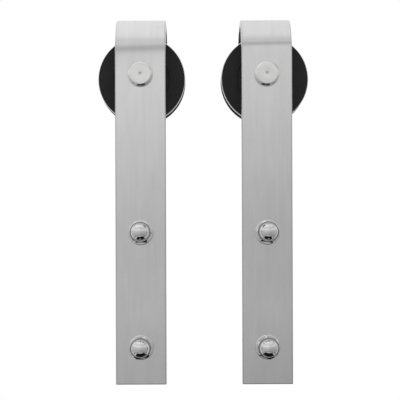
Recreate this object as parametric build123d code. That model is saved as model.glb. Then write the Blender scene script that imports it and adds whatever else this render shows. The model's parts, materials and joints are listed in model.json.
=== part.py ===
# A pair of bent-strap hangers for a sliding door.
# Each is a flat steel strap bent over a grooved wheel, which turns on a ball bearing between the
# strap's two legs. Two bolts and domed nuts clamp the strap to the door.
# Millimetres. +X runs along the door, +Y from the room towards the wall, +Z up.
# The origin lies on the door's front face, in the middle of the four door bolts.
from build123d import *
import math
import os

# The pair on the door
hanger_spacing = 127.0
door_thickness = 40.0

# Strap
strap_width = 50.8
strap_thickness = 6.0
strap_edge_round = 0.8
bend_inner_radius = 29.0
bolt_spacing = 115.0
lower_bolt_to_strap_end = 37.5
upper_bolt_to_axle = 159.0
axle_to_back_leg_end = 24.0
wheel_to_bend_crown = 11.0
door_bolt_hole = 13.0

# Wheel
wheel_diameter = 90.0
wheel_width = 17.0
rim_chamfer = 0.6
groove_depth = 9.0
groove_floor_width = 7.0
groove_mouth_width = 8.4
groove_floor_round = 1.0
hub_wall = 4.0
face_recess_diameter = 58.0
face_recess_depth = 0.8
bearing_shoulder_height = 2.0
bore_chamfer = 0.5

# Ball bearing, 12 x 32 x 10
bearing_bore = 12.0
bearing_outer_diameter = 32.0
bearing_width = 10.0
ball_diameter = 5.953
ball_count = 7
race_land_opening = 3.9
raceway_play = 0.06
race_edge_round = 0.6
shield_thickness = 0.5
shield_inset = 0.3
shield_seat_step = 0.6
shield_gap = 0.1
cage_thickness = 2.2
cage_to_shield = 0.35
cage_pocket_play = 0.1

# Retaining ring that holds the bearing in the wheel
ring_thickness = 1.2
ring_depth = 2.6
ring_groove_depth = 0.85
ring_groove_play = 0.1
ring_gap_angle = 24.0
ring_lug_radius = 1.9
ring_lug_hole = 1.5

# Axle bolt and its hardware
axle_head_diameter = 25.0
axle_head_height = 4.5
axle_head_chamfer = 2.0
axle_dimple_diameter = 2.8
axle_dimple_depth = 2.4
axle_thread_past_nut = 3.5
spacer_outer_diameter = 17.6
spacer_chamfer = 0.5

# M12 thread, drawn as a plain cylinder at its pitch diameter
thread_diameter = 10.86
thread_chamfer = 1.0

# M12 hardware
washer_diameter = 25.0
washer_thickness = 2.5
washer_hole = 13.0
washer_edge_break = 0.4
lock_nut_across_flats = 19.0
lock_nut_corner_chamfer = 0.9
lock_nut_hex_height = 8.5
lock_nut_collar_diameter = 16.6
lock_nut_collar_height = 3.5
lock_nut_lip_height = 0.6
lock_nut_lip_width = 1.4
insert_outer_diameter = 14.6
cap_nut_across_flats = 20.6
cap_nut_corner_chamfer = 1.6
cap_nut_hex_height = 10.0
cap_nut_neck_height = 3.0
cap_nut_dome_diameter = 18.4
cap_nut_thread_depth = 16.0
cap_nut_thread_engagement = 13.0
drill_point_angle = 118.0

# Degrees each cap nut is tightened past having a corner straight up, counter-clockwise from the room
left_cap_nut_turns = {"upper": 30.0, "lower": -20.0}
right_cap_nut_turns = {"upper": 22.0, "lower": 8.0}

# Door bolts
door_bolt_head_diameter = 24.0
door_bolt_head_height = 5.0
door_bolt_head_chamfer = 1.0
door_bolt_neck_diameter = 12.6
socket_across_flats = 8.0
socket_depth = 3.5

# Clearances
seat_gap = 0.02

# Heights, counted from the middle of the door bolts
lower_bolt_z = -bolt_spacing / 2
upper_bolt_z = bolt_spacing / 2
strap_end_z = lower_bolt_z - lower_bolt_to_strap_end
axle_z = upper_bolt_z + upper_bolt_to_axle
wheel_radius = wheel_diameter / 2
bend_centre_z = axle_z + wheel_radius + wheel_to_bend_crown - bend_inner_radius
back_leg_end_z = axle_z - axle_to_back_leg_end

# Depths, counted from the door's front face
strap_front_y = -strap_thickness
wheel_y = bend_inner_radius
back_leg_front_y = 2 * bend_inner_radius
back_leg_rear_y = back_leg_front_y + strap_thickness

# Bearing radii and half widths
axle_radius = bearing_bore / 2
bearing_radius = bearing_outer_diameter / 2
bearing_half = bearing_width / 2
ball_radius = ball_diameter / 2
pitch_radius = (axle_radius + bearing_radius) / 2
raceway_radius = ball_radius + raceway_play
inner_race_land_radius = pitch_radius - race_land_opening / 2
outer_race_land_radius = pitch_radius + race_land_opening / 2
shield_outer_radius = outer_race_land_radius + shield_seat_step
shield_inner_y = bearing_half - shield_inset - shield_thickness
cage_half = shield_inner_y - cage_to_shield


def turned(outline):
    """Solid of revolution about the Y axis, from (radius, y) points in order."""
    return revolve(make_face(Polyline(*outline, close=True)), Axis.Y, 360)


def bar(radius, y_from, y_to):
    """Round bar along Y."""
    return turned([(0, y_from), (radius, y_from), (radius, y_to), (0, y_to)])


def tube(inner_radius, outer_radius, y_from, y_to, edge):
    """Round tube along Y, with both outer edges chamfered."""
    return turned([
        (inner_radius, y_from),
        (outer_radius - edge, y_from),
        (outer_radius, y_from + edge),
        (outer_radius, y_to - edge),
        (outer_radius - edge, y_to),
        (inner_radius, y_to),
    ])


def hex_prism(across_flats, y_from, y_to):
    """Hexagonal bar along Y with two corners pointing up and down."""
    section = RegularPolygon(across_flats / 2, 6, major_radius=False, rotation=30)
    bar_up = extrude(section, y_to - y_from)
    return Pos(0, y_from, 0) * Rot(-90, 0, 0) * bar_up


def chamfer_cone(across_flats, corner_chamfer, y_from, y_to):
    """Turned envelope that chamfers a hexagon's corners at both ends."""
    corner_radius = across_flats / math.sqrt(3)
    face_radius = across_flats / 2
    rim_radius = corner_radius + corner_chamfer
    rim_inset = corner_chamfer * (rim_radius - face_radius) / (corner_radius - face_radius)
    return turned([
        (0, y_from),
        (face_radius, y_from),
        (rim_radius, y_from + rim_inset),
        (rim_radius, y_to - rim_inset),
        (face_radius, y_to),
        (0, y_to),
    ])


def chamfered_hex(across_flats, corner_chamfer, y_from, y_to):
    """Body of a hexagonal nut, without its thread."""
    envelope = chamfer_cone(across_flats, corner_chamfer, y_from, y_to)
    return hex_prism(across_flats, y_from, y_to) & envelope


def strap():
    """Flat bar bent over the wheel: a long leg against the door and a short leg behind."""
    front, rear = strap_front_y, back_leg_rear_y
    crown = bend_centre_z + bend_inner_radius
    outline = Wire([
        Line((front, strap_end_z), (front, bend_centre_z)),
        ThreePointArc((front, bend_centre_z), (wheel_y, crown + strap_thickness), (rear, bend_centre_z)),
        Line((rear, bend_centre_z), (rear, back_leg_end_z)),
        Line((rear, back_leg_end_z), (back_leg_front_y, back_leg_end_z)),
        Line((back_leg_front_y, back_leg_end_z), (back_leg_front_y, bend_centre_z)),
        ThreePointArc((back_leg_front_y, bend_centre_z), (wheel_y, crown), (0, bend_centre_z)),
        Line((0, bend_centre_z), (0, strap_end_z)),
        Line((0, strap_end_z), (front, strap_end_z)),
    ])
    side = Plane.YZ * make_face(outline)
    body = extrude(side, strap_width / 2, both=True)
    side_edges = body.faces().filter_by(Axis.X).edges()
    leg_ends = body.faces().filter_by(Axis.Z)
    end_edges = leg_ends.edges().filter_by(Axis.X)
    body = fillet(side_edges + end_edges, strap_edge_round)
    for height in (lower_bolt_z, upper_bolt_z):
        body -= Pos(0, 0, height) * bar(door_bolt_hole / 2, strap_front_y, 0)
    axle_hole = bar(axle_radius + seat_gap, strap_front_y, back_leg_rear_y)
    return body - Pos(0, 0, axle_z) * axle_hole


def wheel():
    """Grooved wheel with a bearing seat, shouldered at the rear and open at the front."""
    half = wheel_width / 2
    floor_radius = wheel_radius - groove_depth
    floor_half = groove_floor_width / 2
    mouth_half = groove_mouth_width / 2
    hub_radius = bearing_radius + hub_wall
    recess_radius = face_recess_diameter / 2
    recess_half = half - face_recess_depth
    seat_radius = bearing_radius + seat_gap
    shoulder_radius = bearing_radius - bearing_shoulder_height
    groove_radius = bearing_radius + ring_groove_depth
    ring_front = -bearing_half - ring_thickness - ring_groove_play
    body = turned([
        (shoulder_radius, bearing_half),
        (shoulder_radius, half - bore_chamfer),
        (shoulder_radius + bore_chamfer, half),
        (hub_radius, half),
        (hub_radius, recess_half),
        (recess_radius, recess_half),
        (recess_radius, half),
        (wheel_radius - rim_chamfer, half),
        (wheel_radius, half - rim_chamfer),
        (wheel_radius, mouth_half),
        (floor_radius, floor_half),
        (floor_radius, -floor_half),
        (wheel_radius, -mouth_half),
        (wheel_radius, rim_chamfer - half),
        (wheel_radius - rim_chamfer, -half),
        (recess_radius, -half),
        (recess_radius, -recess_half),
        (hub_radius, -recess_half),
        (hub_radius, -half),
        (seat_radius + bore_chamfer, -half),
        (seat_radius, bore_chamfer - half),
        (seat_radius, ring_front),
        (groove_radius, ring_front),
        (groove_radius, -bearing_half),
        (seat_radius, -bearing_half),
        (seat_radius, bearing_half),
    ])
    floor_edges = [
        edge for edge in body.edges().filter_by(GeomType.CIRCLE)
        if abs(edge.radius - floor_radius) < seat_gap
    ]
    return fillet(floor_edges, groove_floor_round)


def retaining_ring():
    """Internal retaining ring, open at the top between two drilled ears, seated against the bearing."""
    outer_radius = bearing_radius + ring_groove_depth - seat_gap
    inner_radius = outer_radius - ring_depth
    lug_track = outer_radius - ring_lug_radius
    half_gap = ring_gap_angle / 2
    plate = Circle(outer_radius) - Circle(inner_radius)
    reach = 2 * outer_radius
    half_width = reach * math.tan(math.radians(half_gap))
    plate -= make_face(Polyline((0, 0), (half_width, reach), (-half_width, reach), close=True))
    for side in (-1, 1):
        angle = math.radians(90 + side * half_gap) + side * ring_lug_radius / lug_track
        place = Pos(lug_track * math.cos(angle), lug_track * math.sin(angle))
        plate += place * Circle(ring_lug_radius)
        plate -= place * Circle(ring_lug_hole / 2)
    body = extrude(plate, ring_thickness)
    return Pos(0, -bearing_half, 0) * Rot(90, 0, 0) * body


def race_groove():
    """Ring that the balls sweep, cut into both races."""
    return Rot(90, 0, 0) * Torus(pitch_radius, raceway_radius)


def outer_race():
    """Outer race with a raceway and a step at each end for a shield."""
    step = shield_inner_y
    body = turned([
        (outer_race_land_radius, -step),
        (shield_outer_radius, -step),
        (shield_outer_radius, -bearing_half),
        (bearing_radius - race_edge_round, -bearing_half),
        (bearing_radius, race_edge_round - bearing_half),
        (bearing_radius, bearing_half - race_edge_round),
        (bearing_radius - race_edge_round, bearing_half),
        (shield_outer_radius, bearing_half),
        (shield_outer_radius, step),
        (outer_race_land_radius, step),
    ])
    return body - race_groove()


def inner_race():
    """Inner race, clamped between the two spacers."""
    bore = axle_radius + seat_gap
    return tube(bore, inner_race_land_radius, -bearing_half, bearing_half, bore_chamfer / 2) - race_groove()


def balls():
    """Balls spaced evenly on the pitch circle."""
    return Compound([
        Rot(0, index * 360 / ball_count, 0) * Pos(pitch_radius, 0, 0) * Sphere(ball_radius)
        for index in range(ball_count)
    ])


def cage():
    """Ring that keeps the balls apart, with a round pocket for each."""
    inner_radius = pitch_radius - cage_thickness / 2
    outer_radius = pitch_radius + cage_thickness / 2
    body = turned([
        (inner_radius, -cage_half),
        (outer_radius, -cage_half),
        (outer_radius, cage_half),
        (inner_radius, cage_half),
    ])
    for index in range(ball_count):
        pocket = Sphere(ball_radius + cage_pocket_play)
        body -= Rot(0, index * 360 / ball_count, 0) * Pos(pitch_radius, 0, 0) * pocket
    return body


def shield(side):
    """Thin washer pressed into the outer race, on the front (-1) or rear (1) side."""
    near, far = side * shield_inner_y, side * (shield_inner_y + shield_thickness)
    inner_radius = inner_race_land_radius + shield_gap
    outer_radius = shield_outer_radius - seat_gap
    return turned([
        (inner_radius, near),
        (outer_radius, near),
        (outer_radius, far),
        (inner_radius, far),
    ])


def spacer(y_from, y_to):
    """Sleeve on the axle between a strap leg and the inner race."""
    bore = axle_radius + seat_gap
    return tube(bore, spacer_outer_diameter / 2, y_from, y_to, spacer_chamfer)


def washer(y_from):
    """Flat washer whose front face is at y_from."""
    return tube(washer_hole / 2, washer_diameter / 2, y_from, y_from + washer_thickness, washer_edge_break)


def axle_bolt():
    """Axle with a flat round head, a plain shank through both legs and a threaded end."""
    head_radius = axle_head_diameter / 2
    head_front = strap_front_y - axle_head_height
    thread_end = back_leg_rear_y + washer_thickness + lock_nut_height() + axle_thread_past_nut
    thread_radius = thread_diameter / 2
    return turned([
        (0, head_front + axle_dimple_depth),
        (axle_dimple_diameter / 2, head_front),
        (head_radius - axle_head_chamfer, head_front),
        (head_radius, head_front + axle_head_chamfer),
        (head_radius, strap_front_y),
        (axle_radius, strap_front_y),
        (axle_radius, back_leg_rear_y),
        (thread_radius, back_leg_rear_y),
        (thread_radius, thread_end - thread_chamfer),
        (thread_radius - thread_chamfer, thread_end),
        (0, thread_end),
    ])


def lock_nut_height():
    """Height of the lock nut over its collar."""
    return lock_nut_hex_height + lock_nut_collar_height


def lock_nut(y_from):
    """Hexagonal lock nut with a round collar that holds a plastic ring."""
    hex_end = y_from + lock_nut_hex_height
    collar_end = y_from + lock_nut_height()
    collar_radius = lock_nut_collar_diameter / 2
    body = chamfered_hex(lock_nut_across_flats, lock_nut_corner_chamfer, y_from, hex_end)
    lip_radius = insert_outer_diameter / 2 - lock_nut_lip_width
    body += tube(lip_radius, collar_radius, hex_end - washer_edge_break, collar_end, washer_edge_break)
    body -= bar(thread_diameter / 2 + seat_gap, y_from, hex_end)
    body -= bar(insert_outer_diameter / 2 + seat_gap, hex_end, collar_end - lock_nut_lip_height)
    return body


def lock_nut_insert(y_from):
    """Plastic ring inside the lock nut's collar."""
    start = y_from + lock_nut_hex_height
    end = y_from + lock_nut_height() - lock_nut_lip_height
    bore = thread_diameter / 2 + seat_gap
    return turned([
        (bore, start),
        (insert_outer_diameter / 2, start),
        (insert_outer_diameter / 2, end),
        (bore, end),
    ])


def door_bolt():
    """Low round-headed bolt through the door, threaded where it passes the strap and the cap nut."""
    head_radius = door_bolt_head_diameter / 2
    neck_end = door_thickness + washer_thickness
    head_end = neck_end + door_bolt_head_height
    nut_seat = strap_front_y - washer_thickness
    tip = nut_seat - cap_nut_thread_engagement
    thread_radius = thread_diameter / 2
    body = turned([
        (0, tip),
        (thread_radius - thread_chamfer, tip),
        (thread_radius, tip + thread_chamfer),
        (thread_radius, 0),
        (axle_radius, 0),
        (axle_radius, door_thickness),
        (door_bolt_neck_diameter / 2, door_thickness),
        (door_bolt_neck_diameter / 2, neck_end),
        (head_radius, neck_end),
        (head_radius, head_end - door_bolt_head_chamfer),
        (head_radius - door_bolt_head_chamfer, head_end),
        (0, head_end),
    ])
    return body - hex_prism(socket_across_flats, head_end - socket_depth, head_end)


def cap_nut():
    """Domed nut with a blind thread, seated on the front washer."""
    base = strap_front_y - washer_thickness
    hex_front = base - cap_nut_hex_height
    dome_radius = cap_nut_dome_diameter / 2
    dome_base = hex_front - cap_nut_neck_height
    body = chamfered_hex(cap_nut_across_flats, cap_nut_corner_chamfer, hex_front, base)
    body += bar(dome_radius, dome_base, hex_front)
    dome = Pos(0, dome_base, 0) * Sphere(dome_radius)
    body += dome & bar(dome_radius, dome_base - dome_radius, dome_base)
    bore = thread_diameter / 2 + seat_gap
    thread_bottom = base - cap_nut_thread_depth
    point = bore / math.tan(math.radians(drill_point_angle / 2))
    return body - turned([(0, base), (bore, base), (bore, thread_bottom), (0, thread_bottom - point)])


def hanger_pieces(cap_nut_turns):
    """Every piece of one hanger, in the plane x = 0, by name."""
    axle = Pos(0, 0, axle_z)
    hub = Pos(0, wheel_y, axle_z)
    pieces = {
        "strap": strap(),
        "wheel": hub * wheel(),
        "bearing_retaining_ring": hub * retaining_ring(),
        "bearing_outer_race": hub * outer_race(),
        "bearing_inner_race": hub * inner_race(),
        "bearing_balls": hub * balls(),
        "bearing_cage": hub * cage(),
        "bearing_front_shield": hub * shield(-1),
        "bearing_rear_shield": hub * shield(1),
        "front_spacer": axle * spacer(0, wheel_y - bearing_half),
        "rear_spacer": axle * spacer(wheel_y + bearing_half, back_leg_front_y),
        "axle_bolt": axle * axle_bolt(),
        "axle_washer": axle * washer(back_leg_rear_y),
        "axle_lock_nut": axle * lock_nut(back_leg_rear_y + washer_thickness),
        "axle_lock_nut_insert": axle * lock_nut_insert(back_leg_rear_y + washer_thickness),
    }
    for level, height in (("upper", upper_bolt_z), ("lower", lower_bolt_z)):
        place = Pos(0, 0, height)
        pieces[level + "_door_bolt"] = place * door_bolt()
        pieces[level + "_rear_washer"] = place * washer(door_thickness)
        pieces[level + "_front_washer"] = place * washer(strap_front_y - washer_thickness)
        pieces[level + "_cap_nut"] = place * Rot(0, -cap_nut_turns[level], 0) * cap_nut()
    return pieces


def main():
    os.makedirs("parts", exist_ok=True)
    hangers = (
        ("left", -hanger_spacing / 2, left_cap_nut_turns),
        ("right", hanger_spacing / 2, right_cap_nut_turns),
    )
    for side, x, cap_nut_turns in hangers:
        for name, piece in hanger_pieces(cap_nut_turns).items():
            export_step(Pos(x, 0, 0) * piece, f"parts/{side}_{name}.step")


main()
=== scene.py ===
import json
import math
import bmesh
import bpy
from mathutils import Matrix, Vector


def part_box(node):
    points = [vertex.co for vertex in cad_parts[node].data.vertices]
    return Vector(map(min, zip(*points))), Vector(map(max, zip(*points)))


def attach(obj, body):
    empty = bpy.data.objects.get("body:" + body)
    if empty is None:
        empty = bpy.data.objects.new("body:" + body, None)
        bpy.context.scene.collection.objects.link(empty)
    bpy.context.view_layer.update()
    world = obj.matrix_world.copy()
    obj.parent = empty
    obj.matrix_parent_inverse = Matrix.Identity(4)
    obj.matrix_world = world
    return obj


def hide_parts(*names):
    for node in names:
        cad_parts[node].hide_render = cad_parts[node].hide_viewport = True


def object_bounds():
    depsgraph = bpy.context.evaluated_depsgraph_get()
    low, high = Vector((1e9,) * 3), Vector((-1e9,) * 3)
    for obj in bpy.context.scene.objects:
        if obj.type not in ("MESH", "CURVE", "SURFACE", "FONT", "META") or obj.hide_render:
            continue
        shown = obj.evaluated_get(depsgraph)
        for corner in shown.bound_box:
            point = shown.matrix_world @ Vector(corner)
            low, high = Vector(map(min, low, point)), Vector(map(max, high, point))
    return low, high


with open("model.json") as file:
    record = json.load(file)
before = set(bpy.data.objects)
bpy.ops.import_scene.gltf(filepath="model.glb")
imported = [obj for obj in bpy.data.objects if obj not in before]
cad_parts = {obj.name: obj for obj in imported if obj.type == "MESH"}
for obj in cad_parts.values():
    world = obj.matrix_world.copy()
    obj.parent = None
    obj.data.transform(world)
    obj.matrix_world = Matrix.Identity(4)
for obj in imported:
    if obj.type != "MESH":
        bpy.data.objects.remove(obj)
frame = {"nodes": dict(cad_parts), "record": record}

for leftover in ("Cube", "Light", "Camera"):  # Blender's start-up objects
    if leftover in bpy.data.objects:
        bpy.data.objects.remove(bpy.data.objects[leftover])
cadBox = [list(corner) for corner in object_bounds()]


def middleOf(node):
    low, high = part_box(node)
    return (low + high) / 2


mm = 0.001
doorFront = 0.0  # the frame's origin lies in the door's front face
strapLow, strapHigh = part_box("left_strap")
strapFront = strapLow.y
hangerX = -middleOf("left_strap").x  # each hanger's middle plane stands this far from x = 0
axle = middleOf("left_wheel")
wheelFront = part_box("left_wheel")[0].y
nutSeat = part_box("left_upper_cap_nut")[1].y  # where the cap nuts press on their washers
sharpCorner = math.radians(38)  # shading breaks at corners sharper than this
black, white = (0, 0, 0), (1, 1, 1)


class Value:  # a socket that takes part in sums, so that node maths reads as maths
    def __init__(self, graph, socket):
        self.graph = graph
        self.socket = socket

    def join(self, operation, *terms):
        return self.graph.join(operation, *terms)

    def __add__(self, other):
        return self.join("ADD", self, other)

    def __radd__(self, other):
        return self.join("ADD", other, self)

    def __sub__(self, other):
        return self.join("SUBTRACT", self, other)

    def __rsub__(self, other):
        return self.join("SUBTRACT", other, self)

    def __mul__(self, other):
        return self.join("MULTIPLY", self, other)

    def __rmul__(self, other):
        return self.join("MULTIPLY", other, self)

    def __truediv__(self, other):
        return self.join("DIVIDE", self, other)

    def __rtruediv__(self, other):
        return self.join("DIVIDE", other, self)

    def __pow__(self, other):
        return self.join("POWER", self, other)

    def __abs__(self):
        return self.join("ABSOLUTE", self)

    def smaller(self, other):  # the smaller of the two
        return self.join("MINIMUM", self, other)

    def larger(self, other):
        return self.join("MAXIMUM", self, other)

    def within(self, low, high):
        return self.larger(low).smaller(high)

    def spread(self, low, high):  # maps 0..1 onto low..high
        return self * (high - low) + low

    def eased(self):  # 0..1 with a soft start and a soft end
        return self * self * (3 - 2 * self)

    def sine(self):
        return self.join("SINE", self)

    def cosine(self):
        return self.join("COSINE", self)


class Graph:  # a node tree whose nodes all come from one method
    def __init__(self, tree):
        self.tree = tree

    def node(self, kind, settings=None, sockets=None):
        made = self.tree.nodes.new(kind)
        for name, value in (settings or {}).items():
            setattr(made, name, value)
        for key, value in (sockets or {}).items():
            target = made.inputs[key]
            source = value.socket if isinstance(value, Value) else value
            if isinstance(source, bpy.types.NodeSocket):
                self.tree.links.new(source, target)
            else:
                target.default_value = source
        return made

    def out(self, made, name=0):
        return Value(self, made.outputs[name])

    def join(self, operation, *terms):
        made = self.node("ShaderNodeMath", {"operation": operation}, dict(enumerate(terms)))
        return self.out(made)

    def vector(self, x, y, z):
        return self.node("ShaderNodeCombineXYZ", sockets={"X": x, "Y": y, "Z": z}).outputs[0]

    def split(self, vector):
        parts = self.node("ShaderNodeSeparateXYZ", sockets={0: vector})
        return [self.out(parts, axis) for axis in "XYZ"]


class Finish(Graph):  # one material
    def __init__(self, name):
        self.material = bpy.data.materials.new(name)
        self.material.use_nodes = True
        super().__init__(self.material.node_tree)
        self.tree.nodes.clear()
        self.place = self.node("ShaderNodeTexCoord").outputs["Object"]

    def axes(self):
        return self.split(self.place)

    def noise(self, vector, detail, scale=1.0, rough=0.5):
        made = self.node("ShaderNodeTexNoise", sockets={
            "Vector": vector, "Scale": scale, "Detail": detail, "Roughness": rough})
        return self.out(made, "Fac")

    def tint(self, value, dark, light):  # each end is a plain colour or another node's
        low, high = [(*end, 1) if isinstance(end, tuple) else end for end in (dark, light)]
        made = self.node("ShaderNodeMix", {"data_type": "RGBA"},
                         {"Factor": value, "A": low, "B": high})
        return made.outputs["Result"]

    def bump(self, height, distance):
        made = self.node("ShaderNodeBump", sockets={"Height": height, "Distance": distance})
        return made.outputs["Normal"]

    def finishWith(self, color, rough, metallic=1.0, normal=None, **fixed):
        sockets = {"Base Color": color, "Roughness": rough, "Metallic": metallic}
        if normal is not None:
            sockets["Normal"] = normal
        sockets.update({name.replace("_", " "): value for name, value in fixed.items()})
        shader = self.node("ShaderNodeBsdfPrincipled", sockets=sockets)
        self.node("ShaderNodeOutputMaterial", sockets={"Surface": shader.outputs[0]})
        return self.material


class Shape(Graph):  # a Geometry Nodes tree with named inputs
    def __init__(self, name, inputs):
        super().__init__(bpy.data.node_groups.new(name, "GeometryNodeTree"))
        interface = self.tree.interface
        interface.new_socket("Geometry", in_out="OUTPUT", socket_type="NodeSocketGeometry")
        for title, kind in {"Geometry": "Geometry", **inputs, "Material": "Material"}.items():
            interface.new_socket(title, in_out="INPUT", socket_type="NodeSocket" + kind)
        self.group = self.node("NodeGroupInput")

    def given(self, title):
        return self.out(self.group, title)

    def finish(self, geometry):  # smooth faces with sharp corners, then the material
        smooth = self.node("GeometryNodeSetShadeSmooth", sockets={"Geometry": geometry})
        corner = self.node("GeometryNodeInputMeshEdgeAngle").outputs["Unsigned Angle"]
        sharp = self.node("FunctionNodeCompare", {"operation": "GREATER_THAN"},
                          {0: corner, 1: sharpCorner})
        edged = self.node("GeometryNodeSetShadeSmooth", {"domain": "EDGE"}, {
            "Geometry": smooth.outputs[0], "Selection": sharp.outputs[0], "Shade Smooth": False})
        real = self.node("GeometryNodeRealizeInstances", sockets={"Geometry": edged.outputs[0]})
        coated = self.node("GeometryNodeSetMaterial", sockets={
            "Geometry": real.outputs[0], "Material": self.given("Material")})
        self.node("NodeGroupOutput", sockets={0: coated.outputs[0]})
        return self.tree


def axleRadius(finish):  # distance from the nearer hanger's axle line
    x, _, z = finish.axes()
    across = abs(x) - hangerX
    up = z - axle.z
    return (across * across + up * up) ** 0.5


def rings(finish, radius, pitch, detail):  # fine rings, as a lathe leaves them
    return finish.noise(finish.vector(radius / pitch, 0.0, 0.0), detail)


brushed = {
    "dark": (0.565, 0.565, 0.565),
    "light": (0.745, 0.745, 0.745),
    "rough": (0.16, 0.26),
    "grain": {"width": 0.0004, "length": 0.03, "detail": 3, "share": 0.25},
    "streak": {"width": 0.0045, "length": 0.07, "detail": 2, "share": 0.3},
    "cloud": {"width": 0.012, "length": 0.035, "detail": 3, "share": 0.45},
    "grainDepth": 0.00005,
    "edgeWidth": 0.0016,  # painted shade: the bar's long edges and its lower end are painted darker
    "edgeShade": (0.4, 0.4, 0.4),
}


def brushedStainless():
    finish = Finish("brushedStainless")
    x, y, z = finish.axes()

    def drawnOut(layer):  # noise that runs along the strap
        across, along = layer["width"], layer["length"]
        return finish.noise(finish.vector(x / across, y / along, z / along), layer["detail"])

    grain, streak, cloud = (drawnOut(brushed[layer]) for layer in ("grain", "streak", "cloud"))
    mixed = (grain * brushed["grain"]["share"] + streak * brushed["streak"]["share"]
             + cloud * brushed["cloud"]["share"])
    # painted shade: a darker tint along the long edges and the lower end
    near = (strapHigh.x - strapLow.x) / 2 - abs(abs(x) - hangerX)
    edge = 1 - (near.smaller(z - strapLow.z) / brushed["edgeWidth"]).smaller(1)
    plain = finish.tint(mixed, brushed["dark"], brushed["light"])
    color = finish.tint(edge, plain, brushed["edgeShade"])
    normal = finish.bump(grain, brushed["grainDepth"])
    return finish.finishWith(color, grain.spread(*brushed["rough"]), normal=normal)


blackWheel = {
    "dark": (0.02, 0.02, 0.02),
    "light": (0.03, 0.03, 0.03),
    "rough": (0.38, 0.5),
    "gloss": 0.03,
    "bareRadius": 0.0444,  # the front rim's corner is bare metal from here outwards
    "bareDepth": 0.001,
    "bare": (0.85, 0.85, 0.85),
    "bareSmoothness": 0.6,  # how much of the roughness the bare metal lacks
    "ringPitch": 0.0006,
    "ringDetail": 3,
    "ringShare": 0.6,
    "ringDepth": 0.000006,
    "cloudScale": 60.0,
    "cloudDetail": 4,
    "cloudShare": 0.4,
}


def blackWheelFinish():
    finish = Finish("blackWheel")
    wheel = blackWheel
    radius = axleRadius(finish)
    ring = rings(finish, radius, wheel["ringPitch"], wheel["ringDetail"])
    cloud = finish.noise(finish.place, wheel["cloudDetail"], wheel["cloudScale"])
    corner = finish.join("LESS_THAN", finish.axes()[1], wheelFront + wheel["bareDepth"])
    bare = finish.join("GREATER_THAN", radius, wheel["bareRadius"]) * corner
    paint = finish.tint(cloud, wheel["dark"], wheel["light"])
    color = finish.tint(bare, paint, wheel["bare"])
    mixed = ring * wheel["ringShare"] + cloud * wheel["cloudShare"]
    rough = mixed.spread(*wheel["rough"]) * (1 - bare * wheel["bareSmoothness"])
    return finish.finishWith(color, rough, bare, finish.bump(ring, wheel["ringDepth"]),
                             Specular_IOR_Level=wheel["gloss"])


turned = {
    "dark": (0.63, 0.63, 0.62),
    "light": (0.77, 0.77, 0.76),
    "rough": (0.16, 0.28),
    "pitch": 0.00025,
    "detail": 2,
    "depth": 0.00003,
}


def turnedSteel(name="turnedSteel", dark=turned["dark"], light=turned["light"]):
    finish = Finish(name)
    ring = rings(finish, axleRadius(finish), turned["pitch"], turned["detail"])
    color = finish.tint(ring, dark, light)
    normal = finish.bump(ring, turned["depth"])
    return finish.finishWith(color, ring.spread(*turned["rough"]), normal=normal)


polished = {
    "dark": (0.62, 0.62, 0.62),
    "light": (0.7, 0.7, 0.7),
    "rough": (0.03, 0.09),
    "smudgeScale": 90.0,
    "smudgeDetail": 5,
    "smudgeRough": 0.6,
    # painted shade in the groove where the dome meets the hexagon
    "seamShade": (0.12, 0.12, 0.12),
    "seamWidth": 0.0009,
    "seamToSeat": 0.01,  # the nut's hexagon lies between them
}


def polishedChrome():
    finish = Finish("polishedChrome")
    smudge = finish.noise(finish.place, polished["smudgeDetail"], polished["smudgeScale"],
                          polished["smudgeRough"])
    # painted shade: a dark ring round the dome's foot, where shade falls in the groove
    seam = nutSeat - polished["seamToSeat"]
    fromSeam = abs(finish.axes()[1] - seam) / polished["seamWidth"]
    clean = finish.tint(smudge, polished["dark"], polished["light"])
    color = finish.tint(fromSeam.smaller(1), polished["seamShade"], clean)
    return finish.finishWith(color, smudge.spread(*polished["rough"]))


plainGrain = {"detail": 5, "scale": 400.0, "rough": 0.6, "depth": 0.000003}


def plainSteel(name, dark, light, rough, metallic=1.0):
    finish = Finish(name)
    grain = plainGrain
    cloud = finish.noise(finish.place, grain["detail"], grain["scale"], grain["rough"])
    color = finish.tint(cloud, dark, light)
    normal = finish.bump(cloud, grain["depth"])
    return finish.finishWith(color, cloud.spread(*rough), metallic, normal)


finishes = {  # a plain one takes its name, dark and light colour and span of roughness
    "brushed_stainless": brushedStainless(),
    "black_wheel": blackWheelFinish(),
    "turned_stainless": turnedSteel(),
    "turned_steel": turnedSteel("spacerSteel", (0.42, 0.42, 0.42), (0.55, 0.55, 0.54)),
    "polished_chrome": polishedChrome(),
    "plated_steel": plainSteel("zincPlated", (0.5, 0.51, 0.53), (0.63, 0.64, 0.66), (0.25, 0.4)),
    "bearing_steel": plainSteel("groundSteel", (0.5, 0.5, 0.52), (0.6, 0.6, 0.62), (0.15, 0.22)),
    "polished_balls": plainSteel("ballSteel", (0.7, 0.7, 0.72), (0.78, 0.78, 0.8), (0.03, 0.06)),
    "cage_steel": plainSteel("cageSteel", (0.4, 0.4, 0.4), (0.5, 0.5, 0.5), (0.3, 0.45)),
    "shield_steel": plainSteel("shieldSteel", (0.38, 0.38, 0.39), (0.5, 0.5, 0.51), (0.25, 0.38)),
    "black_spring_steel": plainSteel("springSteel", (0.02, 0.02, 0.022), (0.04, 0.04, 0.045),
                                     (0.3, 0.45)),
    "nylon_insert": plainSteel("nylon", (0.62, 0.62, 0.6), (0.75, 0.75, 0.72), (0.4, 0.55),
                               metallic=0.0),
}
slotOf = {part["node"]: part["material_slot"] for part in frame["record"]["subparts"]}
for name, node in frame["nodes"].items():
    node.data.materials.clear()
    node.data.materials.append(finishes[slotOf[name]])
print("finishes set on", len(frame["nodes"]), "pieces")


def addObject(name, data):
    made = bpy.data.objects.new(name, data)
    bpy.context.scene.collection.objects.link(made)
    return made


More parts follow.
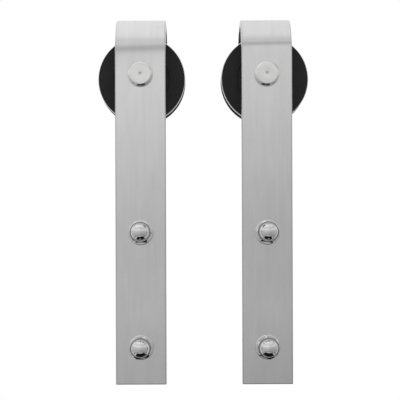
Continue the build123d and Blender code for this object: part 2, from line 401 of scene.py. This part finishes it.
def flipIfInward(mesh):  # an outline may run either way round
    work = bmesh.new()
    work.from_mesh(mesh)
    inward = work.calc_volume(signed=True) < 0
    work.free()
    if inward:
        mesh.flip_normals()


def shapePiece(name, source, tree, values, material, first=()):  # a tree's result as a plain mesh
    piece = addObject(name, source)
    for kind, settings in first:  # modifiers ahead of the tree
        step = piece.modifiers.new(kind, kind)
        for key, value in settings.items():
            setattr(step, key, value)
    shaper = piece.modifiers.new("shape", "NODES")
    shaper.node_group = tree
    sockets = {item.name: item.identifier for item in tree.interface.items_tree
               if item.in_out == "INPUT"}
    for title, value in {**values, "Material": material}.items():
        shaper[sockets[title]] = value
    weighted = piece.modifiers.new("faceNormals", "WEIGHTED_NORMAL")
    weighted.keep_sharp = True
    depsgraph = bpy.context.evaluated_depsgraph_get()
    result = bpy.data.meshes.new_from_object(piece.evaluated_get(depsgraph), depsgraph=depsgraph)
    result.materials.clear()  # primitives bring an empty slot
    result.materials.append(material)
    piece.modifiers.clear()
    piece.data = result
    return piece


def stand(piece, body, node):  # the piece stands for a CAD node
    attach(piece, body)
    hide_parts(node)


def pieceName(node):  # left_axle_bolt becomes leftAxleBolt
    first, *rest = node.split("_")
    return first + "".join(word.capitalize() for word in rest)


turnSegments = 96
cornerSteps = 5  # faces across a rounded corner
mergeDistance = 0.002 * mm


def turningTree():  # turns an outline about a line along Y; rows may be six-sided or a helix
    shape = Shape("turning", {"Segments": "Int", "Turn": "Float", "Pitch": "Float",
                              "Thread Start": "Float", "Thread End": "Float",
                              "Root Radius": "Float", "Place": "Vector"})
    outline = shape.given("Geometry")
    segments = shape.given("Segments")
    size = shape.node("GeometryNodeAttributeDomainSize", sockets={"Geometry": outline})
    rows = shape.out(size, "Point Count")
    grid = shape.node("GeometryNodeMeshGrid", sockets={
        "Vertices X": segments + 1, "Vertices Y": rows})
    index = shape.out(shape.node("GeometryNodeInputIndex"))
    step = shape.join("FLOOR", (index + 0.5) / rows)  # the half guards against rounding
    row = index - step * rows
    turn = step / segments
    angle = turn * math.tau

    def sampled(value):
        made = shape.node("GeometryNodeSampleIndex", {"data_type": "FLOAT_VECTOR"}, {
            "Geometry": outline, "Value": value, "Index": row})
        return shape.split(made.outputs[0])

    radius, level, _ = sampled(shape.node("GeometryNodeInputPosition").outputs[0])
    rule = shape.node("GeometryNodeInputNamedAttribute", {"data_type": "FLOAT_VECTOR"},
                      {"Name": "rule"})
    sides, slope, helix = sampled(rule.outputs["Attribute"])
    sixth = math.pi / 3
    offset = shape.join("MODULO", angle + sixth / 2, sixth) - sixth / 2
    reach = radius * (1 + sides * (1 / offset.cosine() - 1))
    level = level + (reach - radius) * slope - helix * shape.given("Pitch") * turn
    start, end = shape.given("Thread Start"), shape.given("Thread End")
    level = level + helix * (level.within(start, end) - level)
    fade = (level - start).smaller(end - level)  # the thread runs out at both ends
    reach = reach - helix * (reach - shape.given("Root Radius") - fade).larger(0)
    way = angle + shape.given("Turn")
    spot = shape.vector(reach * way.cosine(), level, reach * way.sine())
    moved = shape.node("GeometryNodeSetPosition", sockets={
        "Geometry": grid.outputs["Mesh"], "Position": spot, "Offset": shape.given("Place")})
    merged = shape.node("GeometryNodeMergeByDistance", sockets={
        "Geometry": moved.outputs[0], "Distance": mergeDistance})
    return shape.finish(merged.outputs[0])


turnedPieces = turningTree()
plainRow, threadRow = (0, 0, 0), (0, 0, 1)  # a row's rule: six-sided, slope at its corners, helix


def hexRow(slope=0.0):
    return (1, slope, 0)


def roundCorners(points):  # each is radius, level and maybe a corner radius and a rule
    rows = []
    for number, point in enumerate(points):
        corner = point[2] if len(point) > 2 else 0
        rule = point[3] if len(point) > 3 else plainRow
        if not corner:
            rows.append((point[0], point[1], rule))
            continue
        here = Vector(point[:2])
        before = (Vector(points[number - 1][:2]) - here).normalized()
        after = (Vector(points[number + 1][:2]) - here).normalized()
        half = before.angle(after) / 2
        centre = here + (before + after).normalized() * corner / math.sin(half)
        first = here + before * corner / math.tan(half) - centre
        last = here + after * corner / math.tan(half) - centre
        for step in range(cornerSteps + 1):
            spoke = first.slerp(last, step / cornerSteps).normalized() * corner
            rows.append((centre.x + spoke.x, centre.y + spoke.y, plainRow))
    return rows


def turnPiece(node, points, segments=turnSegments, thread=None, body="root", turn=0.0):
    rows = roundCorners(points)
    outline = bpy.data.meshes.new(pieceName(node))
    outline.from_pydata([(radius, level, 0) for radius, level, _ in rows], [], [])
    rules = outline.attributes.new("rule", "FLOAT_VECTOR", "POINT")
    for item, (_, _, rule) in zip(rules.data, rows):
        item.vector = rule
    middle = middleOf(node)
    values = {"Segments": segments, "Turn": turn, "Place": (middle.x, 0.0, middle.z)}
    values.update(thread or {})
    piece = shapePiece(pieceName(node), outline, turnedPieces, values, finishes[slotOf[node]])
    flipIfInward(piece.data)
    stand(piece, body, node)


screwThread = {"pitch": 1.75 * mm, "crest": 5.93 * mm, "root": 5.05 * mm, "flat": 0.22 * mm}


def threadRows(start, end):  # one ridge after another, with a spare turn for the helix to draw in
    pitch, crest, root, flat = (screwThread[key] for key in ("pitch", "crest", "root", "flat"))
    middle, flank = (crest + root) / 2, pitch / 2 - flat
    shape = [(root, 0), (root, flat), (middle, flat + flank / 2), (crest, flat + flank),
             (crest, flat + flank + flat), (middle, pitch - flank / 2)]
    turns = math.ceil((end - start) / pitch) + 1
    return [(radius, start + turn * pitch + level, 0, threadRow)
            for turn in range(turns) for radius, level in shape]


def threadValues(start, end):
    return {"Pitch": screwThread["pitch"], "Thread Start": start, "Thread End": end,
            "Root Radius": screwThread["root"]}


axleBolt = {
    "shank": 6.0 * mm,
    "headChamfer": 2.0 * mm,
    "dimpleRadius": 1.4 * mm,
    "dimpleDepth": 2.4 * mm,
    "edgeRound": 0.5 * mm,
    "segments": 144,
}


def makeAxleBolt(side):
    node = side + "_axle_bolt"
    low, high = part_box(node)
    bolt = axleBolt
    head = (high.x - low.x) / 2
    threadStart = strapHigh.y
    points = [
        (0, low.y + bolt["dimpleDepth"]),
        (bolt["dimpleRadius"], low.y, bolt["edgeRound"] / 2),
        (head - bolt["headChamfer"], low.y, bolt["edgeRound"]),
        (head, low.y + bolt["headChamfer"], bolt["edgeRound"]),
        (head, strapFront, bolt["edgeRound"]),
        (bolt["shank"], strapFront),
        (bolt["shank"], threadStart),
        *threadRows(threadStart, high.y),
        (0, high.y),
    ]
    turnPiece(node, points, bolt["segments"], threadValues(threadStart, high.y))


doorBolt = {
    "shank": 6.0 * mm,
    "neck": 6.3 * mm,
    "headHeight": 5.0 * mm,
    "headRound": 1.2 * mm,
    "seatRound": 0.2 * mm,
    "socketRadius": 4.0 * mm,  # to its flats
    "socketChamfer": 0.9 * mm,
    "socketDepth": 3.5 * mm,
    "socketCone": 0.8 * mm,  # how much deeper its middle is
    "washer": 2.5 * mm,
}


def makeDoorBolt(side, level):
    node = f"{side}_{level}_door_bolt"
    low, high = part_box(node)
    bolt = doorBolt
    head = (high.x - low.x) / 2
    seat = high.y - bolt["headHeight"]
    neckStart = seat - bolt["washer"]
    socket, socketEnd = bolt["socketRadius"], high.y - bolt["socketDepth"]
    points = [
        (0, low.y),
        *threadRows(low.y, doorFront),
        (bolt["shank"], doorFront),
        (bolt["shank"], neckStart),
        (bolt["neck"], neckStart),
        (bolt["neck"], seat),
        (head, seat, bolt["seatRound"]),
        (head, high.y, bolt["headRound"]),
        (socket + bolt["socketChamfer"], high.y),
        (socket, high.y, 0, hexRow()),
        (socket, socketEnd, 0, hexRow()),
        (0, socketEnd - bolt["socketCone"]),
    ]
    turnPiece(node, points, thread=threadValues(low.y, doorFront))


capNut = {
    "hexRadius": 10.3 * mm,  # to the flats
    "hexHeight": 10.0 * mm,
    "neckHeight": 3.0 * mm,
    "domeRadius": 9.2 * mm,
    "faceRadius": 9.9 * mm,
    "chamferSlope": 1.0,
    "seamDepth": 0.5 * mm,  # groove where the dome joins the hexagon
    "seamWall": 0.2 * mm,
    "boreRadius": 5.45 * mm,
    "boreDepth": 16.0 * mm,
    "borePoint": 0.6,  # its cone's height over its radius
    "domeRows": 20,
    "turns": {("left", "upper"): 30, ("right", "upper"): 22,
              ("left", "lower"): -20, ("right", "lower"): 8},  # degrees
}


def makeCapNut(side, level):
    node = f"{side}_{level}_cap_nut"
    low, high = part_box(node)
    nut = capNut
    hexFront = high.y - nut["hexHeight"]
    domeBase = hexFront - nut["neckHeight"]
    dome, face, flats = nut["domeRadius"], nut["faceRadius"], nut["hexRadius"]
    bore, boreEnd = nut["boreRadius"], high.y - nut["boreDepth"]
    slope = nut["chamferSlope"]
    chamfer = (flats - face) * slope
    seam = hexFront + nut["seamDepth"]
    points = [
        (0, boreEnd - bore * nut["borePoint"]),
        (bore, boreEnd),
        (bore, high.y),
        (face, high.y),
        (flats, high.y - chamfer, 0, hexRow(-slope)),
        (flats, hexFront + chamfer, 0, hexRow(slope)),
        (face, hexFront),
        (face - nut["seamWall"], seam),
        (dome, seam),
        (dome, domeBase),
    ]
    for row in range(1, nut["domeRows"] + 1):
        angle = math.pi / 2 * row / nut["domeRows"]
        points.append((dome * math.cos(angle), domeBase - (domeBase - low.y) * math.sin(angle)))
    turnPiece(node, points, turn=math.radians(nut["turns"][side, level]))


lockNut = {
    "hexRadius": 9.5 * mm,
    "hexHeight": 8.5 * mm,
    "chamferSlope": 0.6,
    "seatLand": 9.0 * mm,
    "collarRadius": 8.3 * mm,
    "collarLand": 0.4 * mm,
    "crimp": 1.2 * mm,
    "lipRadius": 5.9 * mm,
    "lipRound": 0.15 * mm,
    "lip": 0.6 * mm,
    "insertRadius": 7.32 * mm,
    "boreRadius": 5.45 * mm,
}


def makeLockNut(side):
    node = side + "_axle_lock_nut"
    low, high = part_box(node)
    nut = lockNut
    hexEnd, lipEnd = low.y + nut["hexHeight"], high.y - nut["lip"]
    flats, slope, collar = nut["hexRadius"], nut["chamferSlope"], nut["collarRadius"]
    seat, land = nut["seatLand"], collar + nut["collarLand"]
    points = [
        (nut["boreRadius"], low.y),
        (seat, low.y),
        (flats, low.y + (flats - seat) * slope, 0, hexRow(slope)),
        (flats, hexEnd - (flats - land) * slope, 0, hexRow(-slope)),
        (land, hexEnd),
        (collar, hexEnd),
        (collar, high.y, nut["crimp"]),
        (nut["lipRadius"], high.y, nut["lipRound"]),
        (nut["lipRadius"], lipEnd),
        (nut["insertRadius"], lipEnd),
        (nut["insertRadius"], hexEnd),
        (nut["boreRadius"], hexEnd),
        (nut["boreRadius"], low.y),
    ]
    turnPiece(node, points)


washerRing = {"hole": 6.5 * mm, "frontRound": 1.2 * mm, "edgeRound": 0.35 * mm}


def makeWasher(side, kind, dressed):  # the dressed side is the one that shows
    node = f"{side}_{kind}"
    low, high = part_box(node)
    outer = (high.x - low.x) / 2
    hole, edge = washerRing["hole"], washerRing["edgeRound"]
    front = washerRing["frontRound"] if dressed else edge
    turnPiece(node, [
        (hole, high.y),
        (outer, high.y, edge),
        (outer, low.y, front),
        (hole, low.y),
        (hole, high.y),
    ])


grooveWheel = {
    "rimRound": 0.6 * mm,
    "grooveDepth": 9.0 * mm,
    "floorHalf": 3.5 * mm,
    "mouthHalf": 4.2 * mm,
    "floorRound": 1.0 * mm,
    "edgeRound": 0.15 * mm,
    "recessRadius": 29.0 * mm,
    "recessDepth": 0.8 * mm,
    "hubRadius": 20.0 * mm,
    "seatRadius": 16.02 * mm,
    "shoulderRadius": 14.0 * mm,
    "bearingHalf": 5.0 * mm,
    "ringGroove": 16.85 * mm,
    "ringWidth": 1.3 * mm,
    "boreChamfer": 0.5 * mm,
    "segments": 240,
}


def makeWheel(side):
    node = side + "_wheel"
    low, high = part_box(node)
    wheel = grooveWheel
    radius, half = (high.x - low.x) / 2, (high.y - low.y) / 2
    recess = half - wheel["recessDepth"]
    floor = radius - wheel["grooveDepth"]
    edge, rim, floorRound = wheel["edgeRound"], wheel["rimRound"], wheel["floorRound"]
    seat, bearing, chamfer = wheel["seatRadius"], wheel["bearingHalf"], wheel["boreChamfer"]
    shoulder, hub, outer = wheel["shoulderRadius"], wheel["hubRadius"], wheel["recessRadius"]
    ringEnd = -bearing - wheel["ringWidth"]
    outline = [
        (shoulder, bearing),
        (shoulder, half - chamfer),
        (shoulder + chamfer, half),
        (hub, half, edge),
        (hub, recess, edge),
        (outer, recess, edge),
        (outer, half, edge),
        (radius, half, rim),
        (radius, wheel["mouthHalf"], edge),
        (floor, wheel["floorHalf"], floorRound),
        (floor, -wheel["floorHalf"], floorRound),
        (radius, -wheel["mouthHalf"], edge),
        (radius, -half, rim),
        (outer, -half, edge),
        (outer, -recess, edge),
        (hub, -recess, edge),
        (hub, -half, edge),
        (seat + chamfer, -half),
        (seat, chamfer - half),
        (seat, ringEnd),
        (wheel["ringGroove"], ringEnd),
        (wheel["ringGroove"], -bearing),
        (seat, -bearing),
        (seat, bearing),
        (shoulder, bearing),
    ]
    middle = middleOf(node).y
    points = [(point[0], middle + point[1], *point[2:]) for point in outline]
    turnPiece(node, points, wheel["segments"], body=node)


spacerSleeve = {"bore": 6.02 * mm, "edgeRound": 0.5 * mm}


def makeSpacer(side, end):
    node = f"{side}_{end}_spacer"
    low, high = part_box(node)
    outer, bore, edge = (high.x - low.x) / 2, spacerSleeve["bore"], spacerSleeve["edgeRound"]
    turnPiece(node, [
        (bore, high.y),
        (outer, high.y, edge),
        (outer, low.y, edge),
        (bore, low.y),
        (bore, high.y),
    ])


def strapTree():  # bends a straight bar over the wheel; its stretched outer face draws in
    shape = Shape("bentStrap", {"Bend Height": "Float", "Inner Radius": "Float",
                                "Thickness": "Float", "Narrowing": "Float", "Swelling": "Float",
                                "Onset": "Float", "Run In": "Float", "Run Out": "Float",
                                "Place": "Vector"})
    x, y, z = shape.split(shape.node("GeometryNodeInputPosition").outputs[0])
    radius, height = shape.given("Inner Radius"), shape.given("Bend Height")
    past = z - height
    turn = (past / radius).within(0, math.pi)
    along = past - radius * turn
    runIn = shape.given("Run In")  # the bend tightens evenly over it, so the bar sinks in a little
    before = (past + runIn / 2).within(0, runIn / 2)
    after = (runIn / 2 - past).within(0, runIn / 2)
    ramp = (before ** 3 - after ** 3 + (runIn / 2) ** 3) / (6 * radius * runIn)
    back = ((past - runIn / 2) / shape.given("Run Out")).within(0, 1)
    sink = ramp - runIn * runIn / (24 * radius) * back.eased()
    outer = radius - y - sink
    onset = shape.given("Onset")
    worked = (turn / onset).smaller((math.pi - turn) / onset).smaller(1)
    depth = 0 - y / shape.given("Thickness")
    swelling, narrowing = shape.given("Swelling"), shape.given("Narrowing")
    change = swelling - depth * (swelling + narrowing)
    spot = shape.vector(x * (1 + worked.eased() * change), radius - outer * turn.cosine(),
                        height + outer * turn.sine() + along * turn.cosine())
    moved = shape.node("GeometryNodeSetPosition", sockets={
        "Geometry": shape.given("Geometry"), "Position": spot, "Offset": shape.given("Place")})
    return shape.finish(moved.outputs[0])


bentStrap = {
    "backLegBelowAxle": 24.0 * mm,
    "edgeRound": 0.8 * mm,
    "roundSegments": 4,
    "bendRows": 84,
    "bendLead": 10.0 * mm,  # finely cut length below the bend
    "narrowing": 0.018,  # of the outer face's width, where the bend stretches it
    "swelling": 0.012,  # of the inner face's width, where the bend presses it
    "onset": 0.35,  # radians of bend over which the narrowing sets in
    "runIn": {"left": 20.0 * mm, "right": 9.0 * mm},  # length over which the bend tightens
    "runOut": 30.0 * mm,  # length after it over which the bar comes back to the plain arc
    "doorBoltHole": 6.5 * mm,
    "axleHole": 6.02 * mm,
    "holeSegments": 96,
    "drillLength": 40.0 * mm,
}


def strapBlank(height, radius, thickness):  # straight bar, finely cut where it will bend
    strap = bentStrap
    half = (strapHigh.x - strapLow.x) / 2
    bendLength = math.pi * radius
    end = height + bendLength + height - (axle.z - strap["backLegBelowAxle"])
    start = height - strap["bendLead"]
    step = (height + bendLength - start) / strap["bendRows"]
    rows = [strapLow.z, *(start + step * row for row in range(strap["bendRows"] + 1)), end]
    section = ((-half, 0), (half, 0), (half, -thickness), (-half, -thickness))
    corners = [(x, y, z) for z in rows for x, y in section]
    faces = [(3, 2, 1, 0), tuple(range(len(corners) - 4, len(corners)))]
    for first in range(0, len(corners) - 4, 4):
        for corner in range(4):
            here, after = first + corner, first + (corner + 1) % 4
            faces.append((here, after, after + 4, here + 4))
    mesh = bpy.data.meshes.new("strapBlank")
    mesh.from_pydata(corners, [], faces)
    return mesh


def drillBits(height, radius):  # bars that cut the four holes of the straight bar
    strap = bentStrap
    work = bmesh.new()
    bolt = middleOf("left_lower_door_bolt").z
    backAxle = height + math.pi * radius + height - axle.z
    for hole, z in (("doorBoltHole", bolt), ("doorBoltHole", -bolt),
                    ("axleHole", axle.z), ("axleHole", backAxle)):
        place = Matrix.Translation((0, 0, z)) @ Matrix.Rotation(math.pi / 2, 4, "X")
        bmesh.ops.create_cone(work, cap_ends=True, segments=strap["holeSegments"],
                              radius1=strap[hole], radius2=strap[hole],
                              depth=strap["drillLength"], matrix=place)
    mesh = bpy.data.meshes.new("drillBits")
    work.to_mesh(mesh)
    work.free()
    return addObject("drillBits", mesh)


def makeStraps():
    strap = bentStrap
    thickness = -strapFront
    radius = (strapHigh.y - thickness) / 2
    height = strapHigh.z - radius - thickness
    tree = strapTree()
    bits = drillBits(height, radius)
    for side in ("left", "right"):
        node = side + "_strap"
        values = {"Bend Height": height, "Inner Radius": radius, "Thickness": thickness,
                  "Narrowing": strap["narrowing"], "Swelling": strap["swelling"],
                  "Onset": strap["onset"], "Run In": strap["runIn"][side],
                  "Run Out": strap["runOut"], "Place": (middleOf(node).x, 0.0, 0.0)}
        first = (("BEVEL", {"width": strap["edgeRound"], "segments": strap["roundSegments"],
                            "limit_method": "ANGLE", "angle_limit": sharpCorner}),
                 ("BOOLEAN", {"operation": "DIFFERENCE", "solver": "EXACT", "object": bits}))
        piece = shapePiece(pieceName(node), strapBlank(height, radius, thickness), tree, values,
                           finishes[slotOf[node]], first)
        stand(piece, "root", node)
    bpy.data.objects.remove(bits)


bearingBalls = {"count": 7, "pitchRadius": 11.0 * mm, "subdivisions": 4}


def ballTree():  # spaces balls evenly round a bearing
    shape = Shape("ballRow", {"Count": "Int", "Pitch Radius": "Float", "Ball Radius": "Float",
                              "Subdivisions": "Int", "Place": "Vector"})
    ring = shape.node("GeometryNodeMeshCircle", sockets={
        "Vertices": shape.given("Count"), "Radius": shape.given("Pitch Radius")})
    upright = shape.node("GeometryNodeTransform", sockets={
        "Geometry": ring.outputs[0], "Translation": shape.given("Place"),
        "Rotation": (math.pi / 2, 0.0, 0.0)})
    ball = shape.node("GeometryNodeMeshIcoSphere", sockets={
        "Radius": shape.given("Ball Radius"), "Subdivisions": shape.given("Subdivisions")})
    row = shape.node("GeometryNodeInstanceOnPoints", sockets={
        "Points": upright.outputs[0], "Instance": ball.outputs["Mesh"]})
    return shape.finish(row.outputs[0])


def makeBalls():
    balls = bearingBalls
    tree = ballTree()
    for side in ("left", "right"):
        node = side + "_bearing_balls"
        low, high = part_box(node)
        values = {"Count": balls["count"], "Pitch Radius": balls["pitchRadius"],
                  "Ball Radius": (high.y - low.y) / 2, "Subdivisions": balls["subdivisions"],
                  "Place": (middleOf(side + "_wheel").x, (low.y + high.y) / 2, axle.z)}
        piece = shapePiece(pieceName(node), bpy.data.meshes.new("ballRow"), tree, values,
                           finishes[slotOf[node]])
        stand(piece, side + "_ball_cage", node)


makeStraps()
makeBalls()
for side in ("left", "right"):
    makeAxleBolt(side)
    makeLockNut(side)
    makeWheel(side)
    makeWasher(side, "axle_washer", False)
    for end in ("front", "rear"):
        makeSpacer(side, end)
    for level in ("upper", "lower"):
        makeDoorBolt(side, level)
        makeCapNut(side, level)
        makeWasher(side, level + "_front_washer", True)
        makeWasher(side, level + "_rear_washer", False)


viewpoint = {
    "x": -0.012237,
    "z": 0.024875,
    "distance": 0.9,  # from the straps' front face
    "viewWidth": 0.401204,  # how much of that face's plane the view takes in
    "sensor": 36.0,
    "shift": (0.02, 0.1625),
    "roll": 0.2,  # degrees
}
studio = {
    "floorDrop": 0.6,  # below the object's lowest point
    "floorReach": 8.0,
    "paper": 0.8,  # its grey for the light that it throws back
}


def makeCamera():
    data = bpy.data.cameras.new("camera")
    data.sensor_width = viewpoint["sensor"]
    data.lens = viewpoint["sensor"] * viewpoint["distance"] / viewpoint["viewWidth"]
    data.shift_x, data.shift_y = viewpoint["shift"]
    camera = addObject("camera", data)
    camera.location = (viewpoint["x"], strapFront - viewpoint["distance"], viewpoint["z"])
    camera.rotation_euler = (math.pi / 2, math.radians(viewpoint["roll"]), 0)
    bpy.context.scene.camera = camera


def levelCorners(width, front, rear, z):  # width is measured from the middle
    return [(-width, front, z), (width, front, z), (width, rear, z), (-width, rear, z)]


def sheetOf(name, corners, material, faces=None):
    mesh = bpy.data.meshes.new(name)
    mesh.from_pydata(corners, [], faces or [tuple(range(len(corners)))])
    mesh.materials.append(material)
    sheet = addObject(name, mesh)
    return sheet


def paperFloor():  # pale paper, pure white where the camera or a reflection sees it
    finish = Finish("paleFloor")
    path = finish.node("ShaderNodeLightPath")
    camera, glossy, through = (finish.out(path, f"Is {ray} Ray")
                               for ray in ("Camera", "Glossy", "Transmission"))
    color = finish.tint(camera.larger(glossy).larger(through), (studio["paper"],) * 3, white)
    shader = finish.node("ShaderNodeBsdfDiffuse", sockets={"Color": color})
    finish.node("ShaderNodeOutputMaterial", sockets={"Surface": shader.outputs[0]})
    return finish.material


studioWall = {  # glowing grey floor and curved wall round the front, seen only in reflections
    "reach": 125.0,  # degrees each side of straight ahead
    "segments": 60,
    "radius": 1.25,
    "floor": [(0.0, 0.55), (0.75, 0.58), (0.8, 0.2), (0.96, 0.2), (1.02, 0.55)],  # radius and grey
    "rise": [(-0.685, 0.52), (-0.6, 0.5), (-0.48, 0.5), (-0.215, 0.5), (-0.1, 0.67),
             (-0.034, 0.64), (0.037, 0.58), (0.156, 0.63), (0.204, 0.68), (0.275, 0.73),
             (0.43, 0.86), (0.53, 0.92), (0.68, 1.0), (0.95, 0.8), (1.3, 0.78)],  # height and grey
    "sideFall": 0.4,  # how much darker the wall's middle gets to the right, for each metre
    "sideReach": 0.25,  # how far from the middle that goes on
}
bendCard = {  # glowing grey strip, slanted, over the hangers and seen only in reflections; its reflection gives the soft band where each bend starts
    "y": -0.206,
    "middle": 0.33,
    "slope": 0.174,
    "width": 0.4,
    "lower": 0.03,
    "upper": 0.055,
    "grey": 0.38,
}
darkTable = {  # near-black glowing sheet below, seen only in reflections, mirrored by the undersides of domes, heads and rims
    "width": 0.34,
    "front": -0.28,
    "rear": 0.5,
    "z": -0.45,
    "grey": 0.01,
}
# glowing sheet overhead, seen only in reflections
ceiling = {
    "z": 1.3,
    "reach": 1.6,
    "grey": 0.97,
    "sideFall": 0.2,
    "frontStart": 0.45,  # it darkens towards the front from here
    "frontRun": 0.8,
    "frontFall": 0.18,
}
softbox = {"place": (0.0, -0.1, 1.2), "width": 1.6, "depth": 1.6, "power": 0.7}


def glowMaterial(finish, color):
    glow = finish.node("ShaderNodeEmission", sockets={"Color": color, "Strength": 1.0})
    finish.node("ShaderNodeOutputMaterial", sockets={"Surface": glow.outputs[0]})
    return finish.material


def reflectionOnly(sheet):
    for ray in ("visible_camera", "visible_diffuse", "visible_shadow", "visible_transmission"):
        setattr(sheet, ray, False)


def makeWall():
    finish = Finish("studioWall")
    reach = studioWall["sideReach"]
    side = finish.axes()[0].within(-reach, reach)
    painted = finish.out(finish.node("ShaderNodeAttribute", {"attribute_name": "grey"}), "Fac")
    color = finish.tint(painted * (1 - side * studioWall["sideFall"]), black, white)
    foot = studioWall["rise"][0][0]  # the floor lies as high as the wall's foot
    profile = [(radius, foot, grey) for radius, grey in studioWall["floor"]]
    profile += [(studioWall["radius"], level, grey) for level, grey in studioWall["rise"]]
    count, rows = studioWall["segments"], len(profile)
    corners, shades, faces = [], [], []
    for step in range(count + 1):
        angle = math.radians(studioWall["reach"]) * (2 * step / count - 1)
        for radius, level, grey in profile:
            corners.append((radius * math.sin(angle), -radius * math.cos(angle), level))
            shades.append(grey)
    for step in range(count):
        for here in range(step * rows, step * rows + rows - 1):
            faces.append((here, here + rows, here + rows + 1, here + 1))
    wall = sheetOf("studioWall", corners, glowMaterial(finish, color), faces)
    wall.data.attributes.new("grey", "FLOAT", "POINT").data.foreach_set("value", shades)
    reflectionOnly(wall)


def makeBendCard():
    finish = Finish("bendCard")
    card = bendCard
    x, _, z = finish.axes()
    width, lower, upper = card["width"], card["lower"], card["upper"]
    rise = z - x * card["slope"] - card["middle"]
    across = (rise / upper).larger(rise / -lower)
    color = finish.tint(across, (card["grey"],) * 3, white)
    outline = ((-width, -lower), (width, -lower), (width, upper), (-width, upper))
    corners = [(end, card["y"], card["middle"] + end * card["slope"] + edge)
               for end, edge in outline]
    reflectionOnly(sheetOf("bendCard", corners, glowMaterial(finish, color)))


def makeCeiling():
    finish = Finish("ceiling")
    x, y, _ = finish.axes()
    far = ((-ceiling["frontStart"] - y) / ceiling["frontRun"]).within(0, 1)
    grey = ceiling["grey"] - x * ceiling["sideFall"] - far * ceiling["frontFall"]
    material = glowMaterial(finish, finish.tint(grey, black, white))
    reach = ceiling["reach"]
    reflectionOnly(sheetOf("ceiling", levelCorners(reach, -reach, reach, ceiling["z"]), material))


def makeDarkReflectionSheet():
    table = darkTable
    corners = levelCorners(table["width"], table["front"], table["rear"], table["z"])
    material = glowMaterial(Finish("darkTable"), (*(table["grey"],) * 3, 1))
    reflectionOnly(sheetOf("darkTable", corners, material))


def makeStage():
    reach = studio["floorReach"]
    floorZ = cadBox[0][2] - studio["floorDrop"]
    sheetOf("floor", levelCorners(reach, -reach, reach, floorZ), paperFloor())
    makeWall()
    makeBendCard()
    makeDarkReflectionSheet()
    makeCeiling()
    lamp = bpy.data.lights.new("softbox", "AREA")
    lamp.shape = "RECTANGLE"
    lamp.size = softbox["width"]
    lamp.size_y = softbox["depth"]
    lamp.energy = softbox["power"]
    addObject("softbox", lamp).location = softbox["place"]
    world = bpy.data.worlds.new("studioWorld")
    world.use_nodes = True
    bpy.context.scene.world = world
    background = world.node_tree.nodes["Background"]
    background.inputs["Color"].default_value = (*white, 1)
    background.inputs["Strength"].default_value = 1.0


makeCamera()
makeStage()
bpy.context.scene.view_settings.view_transform = "Standard"
print("stage and camera set")
